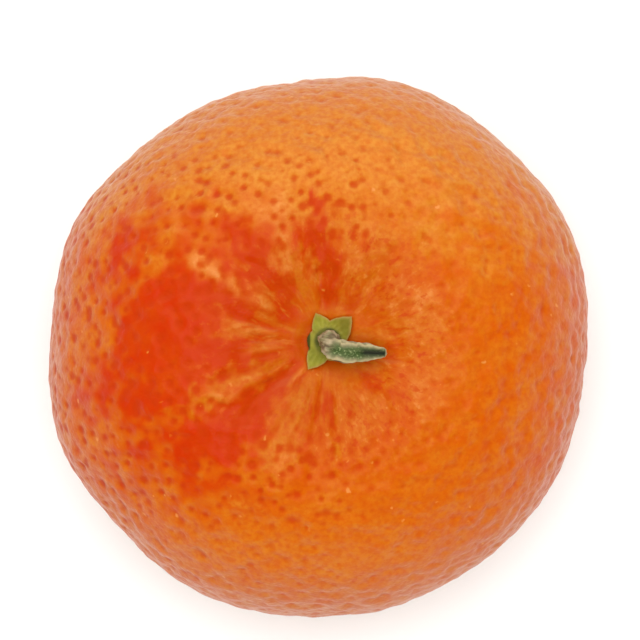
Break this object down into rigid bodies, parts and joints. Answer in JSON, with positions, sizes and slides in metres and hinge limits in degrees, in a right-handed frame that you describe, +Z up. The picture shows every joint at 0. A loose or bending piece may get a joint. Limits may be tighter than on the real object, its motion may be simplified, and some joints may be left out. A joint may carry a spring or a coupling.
{
  "type": "mandarin",
  "caption": "Whole loose-skinned orange citrus fruit with dimpled peel, furrowed stem end, green calyx star and a short bent stem stub, standing on its blossom end.",
  "frame": {"origin": "middle of the outline seen from above, on the surface that the fruit rests on", "axes": "+Z up out of the stem end, +X to the side that the stem stub leans to, +Y away from the viewer who has the stub on the right"},
  "size_m": [0.062, 0.062, 0.0485],
  "materials": {
    "peel": "satin",
    "calyx": "matte",
    "stem": "matte"
  },
  "bodies": {
    "root": {"fruit": "peel", "calyx": "calyx", "stem": "stem"}
  },
  "joints": []
}
